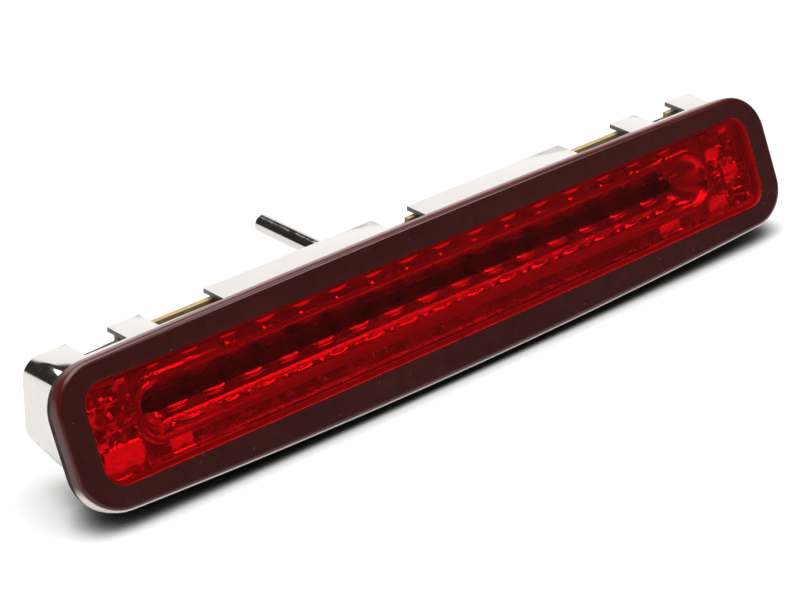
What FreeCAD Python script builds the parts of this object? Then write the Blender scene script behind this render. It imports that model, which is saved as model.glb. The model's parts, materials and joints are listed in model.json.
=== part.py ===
import FreeCAD, Part
import math
import os
from collections import namedtuple

# High-mounted (third) brake light: a red lens in a dark rim on a metallised housing, with sixteen
# through-hole LEDs on two boards behind a stepped reflector.
#
# Millimetres.  Origin: half way between the two fixing bosses, on the plane of their mouths, which is
# the rear edge of the housing.  +X to the right seen from the front, +Y rearwards (into the vehicle),
# +Z up.  The lens faces -Y and leans back by RAKE, so its own outline is drawn in a raked frame whose
# origin is the middle of the lens front face.

# ---- overall lens --------------------------------------------------------------------------------
RAKE = 23.9                  # lens plane leans back from upright, degrees
LENS_SETBACK = 27.4          # lens front, in front of the mounting plane
LENS_LIFT = 2.2              # lens centre, above the fixing bosses
LENS_LENGTH = 274.2
LENS_TOP = 22.2              # middle of the top edge, above the lens centre
LENS_TOP_SAG = 1.4           # fall of the top edge towards its ends
LENS_BOTTOM = 23.1
LENS_BOTTOM_SAG = 3.5
LENS_CORNER = 13.2
LENS_FACE = 2.4              # thickness of the clear pane and of the rim's face
RIM_DEPTH = 4.2              # the rim's return lip, from the front face
RIM_LIP = 1.8                # thickness of that lip
RIM_ROUND = 1.5              # rounding of the rim's front edge

# ---- clear window in the rim ---------------------------------------------------------------------
WINDOW_BORDER = 8.1          # the rim's width at the ends of the window
WINDOW_LENGTH = LENS_LENGTH - 2 * WINDOW_BORDER
WINDOW_TOP = 14.1
WINDOW_TOP_SAG = -0.9        # the window's top edge rises towards its ends
WINDOW_BOTTOM = 14.1
WINDOW_BOTTOM_SAG = 0.6
WINDOW_CORNER = 6.5

# ---- housing -------------------------------------------------------------------------------------
LENS_OVERHANG = 5.7          # the lens reaches past the housing at each end
HOUSING_LENGTH = LENS_LENGTH - 2 * LENS_OVERHANG
HOUSING_TOP = 16.4           # outside of the top wall, above the fixing bosses
HOUSING_BOTTOM = 9.3         # outside of the bottom wall at the rear, below the fixing bosses
BOTTOM_SLOPE = 13.0          # the bottom wall falls towards the lens, degrees
HOUSING_CORNER = 5.5
WALL = 1.4
NECK_INSET = 2.6             # inside the rim's outline, as far back as the gasket reaches
FLANGE_GAP = 0.25            # flange edge to the inside of the rim's lip
CENTRE_NOTCH = 13.8          # width of the gap at the middle of the top wall
BLOCK_LENGTH = 14.4          # uncut stretch of the top wall at each end
TAB_GAP = 14.0               # notch between that stretch and the small tab
TAB_LENGTH = 10.8
PLATE_GAP = 22.6             # notch between the small tab and the long plate
BLOCK_START = HOUSING_LENGTH / 2 - BLOCK_LENGTH
TAB_END = BLOCK_START - TAB_GAP
TAB_START = TAB_END - TAB_LENGTH
PLATE_END = TAB_START - PLATE_GAP
NOTCH_DEPTH = 8.6            # how far the notches run forward from the rear edge
FIXING_INSET = 7.4           # fixing boss, in from the end of the housing
FIXING_SPACING = HOUSING_LENGTH - 2 * FIXING_INSET
FIXING_BOSS_RADIUS = 4.2
FIXING_BOSS_LENGTH = 13.0
FIXING_PILOT_RADIUS = 1.6
FIXING_PILOT_DEPTH = 11.0
RIB = 1.6

# ---- gasket --------------------------------------------------------------------------------------
GASKET_THICKNESS = 3.0
GASKET_INSET = 0.8           # inside the rim's outline
GASKET_CLEARANCE = 0.3       # round the housing

# ---- LEDs ----------------------------------------------------------------------------------------
LED_COUNT = 16
LED_MARGIN = 37.35           # last LED, in from the end of the lens
LED_ROW = LENS_LENGTH - 2 * LED_MARGIN
LED_PITCH = LED_ROW / (LED_COUNT - 1)
LED_RADIUS = 2.5
LED_LENGTH = 8.7
LED_COLLAR_RADIUS = 2.9
LED_COLLAR = 1.0
LED_TIP = 14.9               # tip of the dome, in front of the mounting plane
LED_DROP = 3.2               # LED axis, below the fixing bosses
LEAD_RADIUS = 0.28
LEAD_SPACING = 2.54
LEAD_TAIL = 1.1              # lead beyond the rear of the board

# ---- reflector -----------------------------------------------------------------------------------
REFLECTOR_WALL = 1.2
SHELF_DEPTH = 5.6            # front of the shelf behind the lens front
TROUGH_LIP_DEPTH = 4.6
TROUGH_FLOOR_DEPTH = 16.0
TROUGH_CENTRE = 0.8          # above the lens centre, in the lens plane
TROUGH_LIP_END = 11.25       # the trough's lip, past the last LED
TROUGH_LIP_LENGTH = LED_ROW + 2 * TROUGH_LIP_END
TROUGH_LIP_HEIGHT = 15.6
TROUGH_LIP_CORNER = 6.5
TROUGH_FLOOR_END = 8.25
TROUGH_FLOOR_LENGTH = LED_ROW + 2 * TROUGH_FLOOR_END
TROUGH_FLOOR_HEIGHT = 9.2
TROUGH_FLOOR_CORNER = 3.6
LED_HOLE_CLEARANCE = 0.3

# ---- boards --------------------------------------------------------------------------------------
BOARD_THICKNESS = 1.6
BOARD_REAR = 1.5             # rear face, in front of the mounting plane
BOARD_TOP_GAP = 0.9          # board to the inside of the housing's top wall
BOARD_TOP = HOUSING_TOP - WALL - BOARD_TOP_GAP
BOARD_BOTTOM = 6.9           # below the fixing bosses
BOARD_INNER_END = 4.6
BOARD_PAST_LED = 2.15        # board beyond the last LED
BOARD_OUTER_END = LED_ROW / 2 + BOARD_PAST_LED
END_BOARD_GAP = 1.6          # end board to the inside of the housing's end wall
END_BOARD_LENGTH = 13.6
END_BOARD_END = HOUSING_LENGTH / 2 - WALL - END_BOARD_GAP
END_BOARD_START = END_BOARD_END - END_BOARD_LENGTH
END_BOARD_BOTTOM = 5.6
SCREW_HEIGHT = 8.6
SCREW_PLACES = (LED_PITCH, 4 * LED_PITCH, 7 * LED_PITCH)   # half way between two LEDs
END_SCREW_INSET = 6.4
END_SCREW_PLACE = END_BOARD_END - END_SCREW_INSET
SCREW_RADIUS = 0.95
SCREW_HEAD_RADIUS = 2.1
SCREW_HEAD = 1.3
SCREW_LENGTH = 7.0
SCREW_HOLE_CLEARANCE = 0.35
SCREW_BOSS_RADIUS = 2.6

# ---- locating pin --------------------------------------------------------------------------------
PIN_FROM_SCREW = 9.4         # pin to the innermost screw of the left board
PIN_PLACE = -SCREW_PLACES[0] - PIN_FROM_SCREW
PIN_RADIUS = 2.75
PIN_REACH = 30.3             # tip, behind the mounting plane
PIN_CHAMFER = 0.6
PIN_COLLAR_RADIUS = 4.4      # collar that rests on the rear of the board
PIN_COLLAR = 1.5
PIN_COLLAR_GAP = 0.2         # collar to the inside of the housing's top wall
PIN_HEIGHT = HOUSING_TOP - WALL - PIN_COLLAR_RADIUS - PIN_COLLAR_GAP
PIN_SPIGOT_RADIUS = 2.0      # spigot pressed through the board into the reflector's boss
PIN_SPIGOT_END = 13.0        # inner end, in front of the mounting plane
PIN_BOSS_WALL = 1.7
PIN_HOLE_CLEARANCE = 0.35

# ---- small electrical pieces ---------------------------------------------------------------------
RESISTOR = (3.2, 0.6, 1.6)
RESISTOR_PLACES = (33.3, 73.1)
RESISTOR_HEIGHT = 3.4
DIODE = (4.3, 2.1, 2.6)
DIODE_PLACE = 46.5
DIODE_HEIGHT = 9.4
TAB_WIDTH = 2.8
TAB_THICKNESS = 0.5
TAB_REACH = 6.0              # tab end, behind the mounting plane
TAB_SHOULDER_WIDTH = 4.4
TAB_SHOULDER = 1.2
TAB_PLACES = (23.0, 30.0)
TAB_HEIGHT = 6.4
LINK_RADIUS = 0.35
LINK_HEIGHTS = (11.6, 7.4)
LINK_INSET = 1.9             # from a board's end to the link's leg
LINK_RISE = 0.45             # gap between the link and the board's rear face
SOLDER_RADIUS = 0.95
SOLDER_HEIGHT = 0.8

BIG = 400.0
SIDES = ((-1, "left"), (1, "right"))

Outline = namedtuple("Outline", "length top top_sag bottom bottom_sag corner")
LENS = Outline(LENS_LENGTH, LENS_TOP, LENS_TOP_SAG, LENS_BOTTOM, LENS_BOTTOM_SAG, LENS_CORNER)
WINDOW = Outline(WINDOW_LENGTH, WINDOW_TOP, WINDOW_TOP_SAG, WINDOW_BOTTOM, WINDOW_BOTTOM_SAG, WINDOW_CORNER)

BOARD_FRONT_Y = -BOARD_REAR - BOARD_THICKNESS
BOARD_REAR_Y = -BOARD_REAR
FLANGE_INSET = RIM_LIP + FLANGE_GAP
SHELF_BACK = SHELF_DEPTH + REFLECTOR_WALL
GASKET_BACK = RIM_DEPTH + GASKET_THICKNESS


def point(x, y, z):
    return FreeCAD.Vector(x, y, z)


def raked(shape):
    """Carry a shape from the lens frame (y is depth behind the lens front) to the part's frame."""
    placed = shape.copy()
    turn = FreeCAD.Rotation(point(1, 0, 0), -RAKE)
    lens_frame = FreeCAD.Placement(point(0, -LENS_SETBACK, LENS_LIFT), turn)
    placed.Placement = lens_frame.multiply(placed.Placement)
    return placed


def behind(depth):
    """Everything further back than a depth behind the lens front."""
    return raked(Part.makeBox(2 * BIG, BIG, 2 * BIG, point(-BIG, depth, -BIG)))


def arc_edge(start, middle, end):
    return Part.Arc(start, middle, end).toShape()


def upright_edges(solid):
    """Edges of a prism that run along its own depth, where its corners are."""
    found = []
    for edge in solid.Edges:
        run = edge.Vertexes[-1].Point - edge.Vertexes[0].Point
        if abs(run.x) < 1e-6 and abs(run.z) < 1e-6 and abs(run.y) > 1e-6:
            found.append(edge)
    return found


def lens_plate(outline, inset, front, back):
    """A plate with a lens outline drawn in by an inset, between two depths, in the lens frame."""
    half = outline.length / 2 - inset
    top = outline.top - inset
    bottom = -outline.bottom + inset
    top_end = top - outline.top_sag
    bottom_end = bottom + outline.bottom_sag
    corners = [point(-half, front, top_end), point(half, front, top_end),
               point(half, front, bottom_end), point(-half, front, bottom_end)]
    edges = [arc_edge(corners[0], point(0, front, top), corners[1]),
             Part.makeLine(corners[1], corners[2]),
             arc_edge(corners[2], point(0, front, bottom), corners[3]),
             Part.makeLine(corners[3], corners[0])]
    solid = Part.Face(Part.Wire(edges)).extrude(point(0, back - front, 0))
    return solid.makeFillet(outline.corner - inset, upright_edges(solid))


def slot_wire(length, height, corner, depth):
    """A rounded rectangle in the lens frame, centred on the trough."""
    x = length / 2
    low = TROUGH_CENTRE - height / 2
    high = TROUGH_CENTRE + height / 2
    lean = corner * (1 - math.sqrt(0.5))
    return Part.Wire([
        Part.makeLine(point(-x + corner, depth, high), point(x - corner, depth, high)),
        arc_edge(point(x - corner, depth, high), point(x - lean, depth, high - lean),
                 point(x, depth, high - corner)),
        Part.makeLine(point(x, depth, high - corner), point(x, depth, low + corner)),
        arc_edge(point(x, depth, low + corner), point(x - lean, depth, low + lean),
                 point(x - corner, depth, low)),
        Part.makeLine(point(x - corner, depth, low), point(-x + corner, depth, low)),
        arc_edge(point(-x + corner, depth, low), point(-x + lean, depth, low + lean),
                 point(-x, depth, low + corner)),
        Part.makeLine(point(-x, depth, low + corner), point(-x, depth, high - corner)),
        arc_edge(point(-x, depth, high - corner), point(-x + lean, depth, high - lean),
                 point(-x + corner, depth, high))])


def trough(grow, floor_depth):
    """The tapering trough round the LEDs, from its lip to a floor depth, grown on every side."""
    lip = slot_wire(TROUGH_LIP_LENGTH + 2 * grow, TROUGH_LIP_HEIGHT + 2 * grow,
                    TROUGH_LIP_CORNER + grow, TROUGH_LIP_DEPTH)
    floor = slot_wire(TROUGH_FLOOR_LENGTH + 2 * grow, TROUGH_FLOOR_HEIGHT + 2 * grow,
                      TROUGH_FLOOR_CORNER + grow, floor_depth)
    return Part.makeLoft([lip, floor], True, True)


def rod(radius, x, z, front, back):
    """A cylinder along Y."""
    return Part.makeCylinder(radius, back - front, point(x, front, z), point(0, 1, 0))


def block(x0, x1, y0, y1, z0, z1):
    return Part.makeBox(x1 - x0, y1 - y0, z1 - z0, point(x0, y0, z0))


def led_places():
    first = -LED_PITCH * (LED_COUNT - 1) / 2
    return [first + LED_PITCH * index for index in range(LED_COUNT)]


def lead_places():
    """Every LED lead's distance along X."""
    return [x + side * LEAD_SPACING / 2 for x in led_places() for side in (-1, 1)]


# ---- lens, rim and gasket ------------------------------------------------------------------------

def make_lens():
    return raked(lens_plate(WINDOW, 0, 0, LENS_FACE))


def make_lens_rim():
    rim = lens_plate(LENS, 0, 0, RIM_DEPTH)
    front_edges = [edge for edge in rim.Edges if abs(edge.BoundBox.YMax) < 1e-6]
    rim = rim.makeFillet(RIM_ROUND, front_edges)
    rim = rim.cut(lens_plate(LENS, RIM_LIP, LENS_FACE, RIM_DEPTH + 1))
    rim = rim.cut(lens_plate(WINDOW, 0, -1, RIM_DEPTH + 1))
    return raked(rim)


def make_gasket():
    ring = lens_plate(LENS, GASKET_INSET, RIM_DEPTH, GASKET_BACK)
    return raked(ring).cut(housing_form(-GASKET_CLEARANCE))


# ---- housing -------------------------------------------------------------------------------------

def housing_form(inset):
    """The housing's outer form drawn in by an inset, from well in front of the lens to the rear edge."""
    front = -LENS_SETBACK - LENS_TOP
    fall = math.tan(math.radians(BOTTOM_SLOPE))
    top = HOUSING_TOP - inset
    low_rear = -HOUSING_BOTTOM + inset
    low_front = low_rear + fall * front
    half = HOUSING_LENGTH / 2 - inset
    corners = [point(-half, front, low_front), point(-half, 0, low_rear), point(-half, 0, top),
               point(-half, front, top), point(-half, front, low_front)]
    solid = Part.Face(Part.makePolygon(corners)).extrude(point(2 * half, 0, 0))
    long_edges = []
    for edge in solid.Edges:
        run = edge.Vertexes[-1].Point - edge.Vertexes[0].Point
        if abs(run.y) > 1:
            long_edges.append(edge)
    solid = solid.makeFillet(HOUSING_CORNER - inset, long_edges)
    neck_depth = GASKET_BACK + max(inset, 0)
    neck = solid.common(raked(lens_plate(LENS, NECK_INSET + inset, 0, neck_depth)))
    return neck.fuse(solid.common(behind(neck_depth)))


def notch_spans():
    """Stretches of the top wall that are cut away, from left to right."""
    half = [(PLATE_END, TAB_START), (TAB_END, BLOCK_START)]
    spans = [(-CENTRE_NOTCH / 2, CENTRE_NOTCH / 2)]
    for start, end in half:
        spans.append((start, end))
        spans.append((-end, -start))
    return spans


def fixing_boss(side):
    """A screw boss near one end, tied to the end wall and the bottom wall by ribs."""
    x = side * FIXING_SPACING / 2
    wall_x = side * (HOUSING_LENGTH / 2 - WALL / 2)
    boss = rod(FIXING_BOSS_RADIUS, x, 0, -FIXING_BOSS_LENGTH, 0)
    side_rib = block(min(x, wall_x), max(x, wall_x), -FIXING_BOSS_LENGTH, 0, -RIB / 2, RIB / 2)
    low_rib = block(x - RIB / 2, x + RIB / 2, -FIXING_BOSS_LENGTH, 0, -HOUSING_BOTTOM - HOUSING_TOP, 0)
    return boss.fuse(side_rib).fuse(low_rib.common(housing_form(WALL / 2)))


def make_housing():
    shell = housing_form(0).cut(housing_form(WALL))
    for start, end in notch_spans():
        shell = shell.cut(block(start, end, -NOTCH_DEPTH, 1, HOUSING_TOP - HOUSING_CORNER, BIG))
    flange = raked(lens_plate(LENS, FLANGE_INSET, LENS_FACE, RIM_DEPTH))
    housing = shell.common(behind(LENS_FACE)).fuse(flange)
    housing = housing.cut(raked(lens_plate(WINDOW, 0, -1, RIM_DEPTH)))
    for side, _ in SIDES:
        housing = housing.fuse(fixing_boss(side))
        housing = housing.cut(rod(FIXING_PILOT_RADIUS, side * FIXING_SPACING / 2, 0,
                                  -FIXING_PILOT_DEPTH, 1))
    return housing.removeSplitter()


# ---- reflector -----------------------------------------------------------------------------------

def screw_places():
    places = [side * x for side, _ in SIDES for x in SCREW_PLACES]
    return sorted(places + [side * END_SCREW_PLACE for side, _ in SIDES])


def make_reflector():
    pan = lens_plate(WINDOW, 0, LENS_FACE, SHELF_BACK)
    pan = pan.cut(lens_plate(WINDOW, REFLECTOR_WALL, LENS_FACE - 1, SHELF_DEPTH))
    pan = pan.fuse(trough(REFLECTOR_WALL, TROUGH_FLOOR_DEPTH + REFLECTOR_WALL))
    solid = raked(pan)
    rear = behind(SHELF_DEPTH + REFLECTOR_WALL / 2)
    for x in screw_places():
        boss = rod(SCREW_BOSS_RADIUS, x, SCREW_HEIGHT, -LENS_SETBACK, BOARD_FRONT_Y)
        solid = solid.fuse(boss.common(rear))
    pin_boss = rod(PIN_SPIGOT_RADIUS + PIN_BOSS_WALL, PIN_PLACE, PIN_HEIGHT, -LENS_SETBACK, BOARD_FRONT_Y)
    solid = solid.fuse(pin_boss.common(rear))
    solid = solid.cut(raked(trough(0, TROUGH_FLOOR_DEPTH)))
    for x in screw_places():
        solid = solid.cut(rod(SCREW_RADIUS, x, SCREW_HEIGHT, BOARD_REAR_Y - SCREW_LENGTH, 0))
    solid = solid.cut(rod(PIN_SPIGOT_RADIUS, PIN_PLACE, PIN_HEIGHT, -PIN_SPIGOT_END, 0))
    for x in led_places():
        hole = rod(LED_RADIUS + LED_HOLE_CLEARANCE, x, -LED_DROP, -LENS_SETBACK, 0)
        solid = solid.cut(hole)
    return solid.removeSplitter()


# ---- locating pin --------------------------------------------------------------------------------

def make_locating_pin():
    """A shaft behind a collar that clamps the left board, on a spigot in the reflector."""
    collar_back = BOARD_REAR_Y + PIN_COLLAR
    shaft = rod(PIN_RADIUS, PIN_PLACE, PIN_HEIGHT, BOARD_REAR_Y, PIN_REACH)
    tip = [edge for edge in shaft.Edges if abs(edge.BoundBox.YMin - PIN_REACH) < 1e-6]
    shaft = shaft.makeChamfer(PIN_CHAMFER, tip)
    collar = rod(PIN_COLLAR_RADIUS, PIN_PLACE, PIN_HEIGHT, BOARD_REAR_Y, collar_back)
    spigot = rod(PIN_SPIGOT_RADIUS, PIN_PLACE, PIN_HEIGHT, -PIN_SPIGOT_END, BOARD_REAR_Y)
    return shaft.fuse([collar, spigot]).removeSplitter()


# ---- boards --------------------------------------------------------------------------------------

def drilled(board, places, height, radius):
    for x in places:
        board = board.cut(rod(radius, x, height, BOARD_FRONT_Y - 1, BOARD_REAR_Y + 1))
    return board


def link_spans():
    """The two ends of each wire link: across the middle, and out to each end board."""
    outer = BOARD_OUTER_END - LINK_INSET
    end = END_BOARD_START + LINK_INSET
    inner = BOARD_INNER_END + LINK_INSET
    return [(-inner, inner), (outer, end), (-end, -outer)]


def link_legs():
    return [(x, z) for span in link_spans() for x in span for z in LINK_HEIGHTS]


def tab_places():
    return [(x, TAB_HEIGHT) for x in TAB_PLACES]


def board(x0, x1, low):
    """One circuit board between two distances along X, with the holes that fall on it."""
    sheet = block(x0, x1, BOARD_FRONT_Y, BOARD_REAR_Y, low, BOARD_TOP)
    if low < -LED_DROP:
        leads = [x for x in lead_places() if x0 < x < x1]
        sheet = drilled(sheet, leads, -LED_DROP, LEAD_RADIUS)
    screws = [x for x in screw_places() if x0 < x < x1]
    sheet = drilled(sheet, screws, SCREW_HEIGHT, SCREW_RADIUS + SCREW_HOLE_CLEARANCE)
    for x, z in link_legs():
        if x0 < x < x1:
            sheet = drilled(sheet, [x], z, LINK_RADIUS)
    if x0 < PIN_PLACE < x1:
        sheet = drilled(sheet, [PIN_PLACE], PIN_HEIGHT, PIN_SPIGOT_RADIUS + PIN_HOLE_CLEARANCE)
    return sheet


def make_boards():
    return {"left_board": board(-BOARD_OUTER_END, -BOARD_INNER_END, -BOARD_BOTTOM),
            "right_board": board(BOARD_INNER_END, BOARD_OUTER_END, -BOARD_BOTTOM),
            "left_end_board": board(-END_BOARD_END, -END_BOARD_START, END_BOARD_BOTTOM),
            "right_end_board": board(END_BOARD_START, END_BOARD_END, END_BOARD_BOTTOM)}


def board_screw(x):
    head = rod(SCREW_HEAD_RADIUS, x, SCREW_HEIGHT, BOARD_REAR_Y, BOARD_REAR_Y + SCREW_HEAD)
    rim = [edge for edge in head.Edges if abs(edge.BoundBox.YMin - BOARD_REAR_Y - SCREW_HEAD) < 1e-6]
    head = head.makeFillet(SCREW_HEAD / 2, rim)
    shank = rod(SCREW_RADIUS, x, SCREW_HEIGHT, BOARD_REAR_Y - SCREW_LENGTH, BOARD_REAR_Y)
    return head.fuse(shank)


# ---- LEDs and small electrical pieces ------------------------------------------------------------

def led(x):
    """A domed LED on its two leads."""
    tip = -LED_TIP
    base = tip + LED_LENGTH
    body = rod(LED_RADIUS, x, -LED_DROP, tip + LED_RADIUS, base)
    dome = Part.makeSphere(LED_RADIUS, point(x, tip + LED_RADIUS, -LED_DROP))
    collar = rod(LED_COLLAR_RADIUS, x, -LED_DROP, base - LED_COLLAR, base)
    solid = body.fuse([dome, collar])
    for side in (-1, 1):
        lead_x = x + side * LEAD_SPACING / 2
        solid = solid.fuse(rod(LEAD_RADIUS, lead_x, -LED_DROP, base, BOARD_REAR_Y + LEAD_TAIL))
    return solid.removeSplitter()


def solder_joint(x, z, wire_radius):
    cone = Part.makeCone(SOLDER_RADIUS, wire_radius + 0.12, SOLDER_HEIGHT, point(x, BOARD_REAR_Y, z),
                         point(0, 1, 0))
    return cone.cut(rod(wire_radius, x, z, BOARD_REAR_Y - 1, BOARD_REAR_Y + LEAD_TAIL))


def make_solder_joints():
    joints = [solder_joint(x, -LED_DROP, LEAD_RADIUS) for x in lead_places()]
    return Part.makeCompound(joints)


def surface_part(size, x, z):
    """A small block soldered flat on the rear face of a board."""
    length, height, width = size
    return block(x - length / 2, x + length / 2, BOARD_REAR_Y, BOARD_REAR_Y + height,
                 z - width / 2, z + width / 2)


def make_resistors():
    places = [side * x for side, _ in SIDES for x in RESISTOR_PLACES]
    parts = [surface_part(RESISTOR, x, RESISTOR_HEIGHT) for x in places]
    for side, _ in SIDES:
        parts.append(surface_part(RESISTOR, side * (END_BOARD_END - RESISTOR[0]), LINK_HEIGHTS[0]))
    return Part.makeCompound(parts)


def make_diodes():
    return Part.makeCompound([surface_part(DIODE, side * DIODE_PLACE, DIODE_HEIGHT) for side, _ in SIDES])


def wire_link(x0, x1, z):
    """A bare wire bridge: a straight run behind the boards with a leg through each."""
    run_y = BOARD_REAR_Y + LINK_RISE + LINK_RADIUS
    run = Part.makeCylinder(LINK_RADIUS, x1 - x0, point(x0, run_y, z), point(1, 0, 0))
    solid = run
    for x in (x0, x1):
        solid = solid.fuse(rod(LINK_RADIUS, x, z, BOARD_FRONT_Y - LINK_RISE, run_y))
        solid = solid.fuse(Part.makeSphere(LINK_RADIUS, point(x, run_y, z)))
    return solid.removeSplitter()


def make_wire_links():
    return Part.makeCompound([wire_link(x0, x1, z) for x0, x1 in link_spans() for z in LINK_HEIGHTS])


def feed_tab(x, z):
    """A flat blade standing out of the board, for a push-on terminal."""
    half = TAB_THICKNESS / 2
    foot = block(x - TAB_SHOULDER_WIDTH / 2, x + TAB_SHOULDER_WIDTH / 2, BOARD_REAR_Y,
                 BOARD_REAR_Y + TAB_SHOULDER, z - half, z + half)
    blade = block(x - TAB_WIDTH / 2, x + TAB_WIDTH / 2, BOARD_REAR_Y, TAB_REACH, z - half, z + half)
    tips = [edge for edge in blade.Edges
            if abs(edge.BoundBox.YMin - TAB_REACH) < 1e-6 and edge.BoundBox.ZLength > half]
    return blade.makeChamfer(0.4 * TAB_WIDTH / 2, tips).fuse(foot).removeSplitter()


def make_feed_tabs():
    return Part.makeCompound([feed_tab(x, z) for x, z in tab_places()])


def make_parts():
    """Every node's name and shape."""
    parts = {"lens": make_lens(),
             "lens_rim": make_lens_rim(),
             "gasket": make_gasket(),
             "housing": make_housing(),
             "reflector": make_reflector(),
             "locating_pin": make_locating_pin()}
    for number, x in enumerate(led_places(), start=1):
        parts["led_%02d" % number] = led(x)
    parts.update(make_boards())
    parts["board_screws"] = Part.makeCompound([board_screw(x) for x in screw_places()])
    parts["solder_joints"] = make_solder_joints()
    parts["resistors"] = make_resistors()
    parts["diodes"] = make_diodes()
    parts["wire_links"] = make_wire_links()
    parts["feed_tabs"] = make_feed_tabs()
    return parts


os.makedirs("parts", exist_ok=True)
for name, shape in make_parts().items():
    shape.exportStep("parts/%s.step" % name)
    box = shape.BoundBox
    print("%-16s %2d solids  valid %s  %8.1f mm3  x %.1f..%.1f  y %.1f..%.1f  z %.1f..%.1f" % (
        name, len(shape.Solids), shape.isValid(), shape.Volume,
        box.XMin, box.XMax, box.YMin, box.YMax, box.ZMin, box.ZMax))
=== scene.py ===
"""The looks of a high-mounted brake light: lens, rim, housing, reflector, LEDs and boards."""
import json
import logging
import math
from dataclasses import dataclass, field
from enum import Enum
from typing import Callable, Iterable

import bmesh
import bpy
from mathutils import Matrix, Vector, noise

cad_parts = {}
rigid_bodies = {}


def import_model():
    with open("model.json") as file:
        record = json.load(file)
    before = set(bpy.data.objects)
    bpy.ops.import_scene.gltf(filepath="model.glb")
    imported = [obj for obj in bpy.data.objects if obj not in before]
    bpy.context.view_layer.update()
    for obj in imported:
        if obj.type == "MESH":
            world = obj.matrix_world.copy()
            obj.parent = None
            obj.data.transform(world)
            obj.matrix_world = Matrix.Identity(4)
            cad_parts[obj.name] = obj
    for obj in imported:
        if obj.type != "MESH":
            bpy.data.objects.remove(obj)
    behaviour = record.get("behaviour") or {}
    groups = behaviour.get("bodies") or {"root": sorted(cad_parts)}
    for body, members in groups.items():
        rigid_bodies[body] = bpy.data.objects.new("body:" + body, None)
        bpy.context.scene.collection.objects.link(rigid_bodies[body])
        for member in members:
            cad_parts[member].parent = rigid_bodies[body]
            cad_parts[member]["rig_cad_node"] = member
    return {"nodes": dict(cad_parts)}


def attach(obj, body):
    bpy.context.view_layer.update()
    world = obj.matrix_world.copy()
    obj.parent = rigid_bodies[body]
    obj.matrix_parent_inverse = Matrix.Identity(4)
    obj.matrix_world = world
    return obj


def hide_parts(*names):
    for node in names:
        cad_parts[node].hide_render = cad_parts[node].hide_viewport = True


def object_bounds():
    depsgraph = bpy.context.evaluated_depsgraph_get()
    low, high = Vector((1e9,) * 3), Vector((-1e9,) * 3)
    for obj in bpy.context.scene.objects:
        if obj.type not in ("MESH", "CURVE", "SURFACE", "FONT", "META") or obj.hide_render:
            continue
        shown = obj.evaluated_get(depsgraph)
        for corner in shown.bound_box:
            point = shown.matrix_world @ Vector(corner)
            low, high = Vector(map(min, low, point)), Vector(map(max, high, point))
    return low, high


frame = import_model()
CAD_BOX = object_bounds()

log = logging.getLogger("brake_light")
MM = 0.001
BODY = "root"
RAKE = math.radians(23.9)
LENS_CENTRE = Vector((0.0, -27.4, 2.2))
LED_COUNT = 16
LED_PITCH = 13.3
LED_HEIGHT = -3.2
BOARD_REAR = -1.5
NUMBER = "NodeSocketFloat"
RGB = tuple[float, float, float]
Point = tuple[float, float]


# ---- small geometry helpers ----------------------------------------------------------------------

def lens_frame() -> Matrix:
    """The raked lens frame (x, depth, height in mm) carried to the part's frame in metres."""
    return (Matrix.Scale(MM, 4) @ Matrix.Translation(LENS_CENTRE)
            @ Matrix.Rotation(-RAKE, 4, "X"))


def part_frame() -> Matrix:
    """Millimetres in the part's frame, carried to metres."""
    return Matrix.Scale(MM, 4)


def smooth(edge0: float, edge1: float, value: float) -> float:
    """A smooth step from 0 at edge0 to 1 at edge1, in either direction."""
    t = min(1.0, max(0.0, (value - edge0) / (edge1 - edge0)))
    return t * t * (3.0 - 2.0 * t)


def follow(points: Iterable[Point], value: float) -> float:
    """Read a line drawn through points.

    Args:
        points: (position, result) pairs in rising order of position.
        value: the position to read.

    Returns:
        The result at that position, held flat past both ends.
    """
    line = list(points)
    if value <= line[0][0]:
        return line[0][1]
    for (x0, y0), (x1, y1) in zip(line, line[1:]):
        if value <= x1:
            return y0 + (y1 - y0) * (value - x0) / (x1 - x0)
    return line[-1][1]


def led_places() -> list[float]:
    """Every LED's distance along X, in mm."""
    first = -LED_PITCH * (LED_COUNT - 1) / 2
    return [first + LED_PITCH * index for index in range(LED_COUNT)]


def rod(bm: bmesh.types.BMesh, radius: float, centre: Vector, front: float, back: float,
        sides: int = 20, end_radius: float | None = None) -> list[bmesh.types.BMVert]:
    """Add a closed cylinder or cone along Y.

    Args:
        bm: the mesh to add to.
        radius: radius at the front end, in mm.
        centre: any point on the axis.
        front: Y of the front end.
        back: Y of the back end.
        sides: number of sides.
        end_radius: radius at the back end, if it differs.

    Returns:
        The new vertices.
    """
    far = radius if end_radius is None else end_radius
    turn = Matrix.Rotation(math.radians(-90.0), 4, "X")
    place = Matrix.Translation((centre.x, (front + back) / 2, centre.z)) @ turn
    made = bmesh.ops.create_cone(bm, cap_ends=True, cap_tris=False, segments=sides, radius1=radius,
                                 radius2=far, depth=back - front, matrix=place)
    return made["verts"]


def block(bm: bmesh.types.BMesh, low: Vector, high: Vector, round_off: float = 0.0,
          segments: int = 2) -> list[bmesh.types.BMFace]:
    """Add a box between two corners, with its edges rounded.

    Args:
        bm: the mesh to add to.
        low: lowest corner, in mm.
        high: highest corner.
        round_off: how far the bevel reaches, in mm.
        segments: bevel segments.

    Returns:
        The faces of the new box.
    """
    size = high - low
    place = Matrix.Translation((low + high) / 2) @ Matrix.Diagonal((*size, 1.0))
    made = bmesh.ops.create_cube(bm, size=1.0, matrix=place)
    faces = list({face for vert in made["verts"] for face in vert.link_faces})
    if round_off > 0.0:
        edges = list({edge for vert in made["verts"] for edge in vert.link_edges})
        done = bmesh.ops.bevel(bm, geom=edges, offset=round_off, offset_type="OFFSET",
                               segments=segments, profile=0.5, affect="EDGES", material=-1)
        faces = list(set(face for face in faces if face.is_valid) | set(done["faces"]))
    return faces


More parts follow.
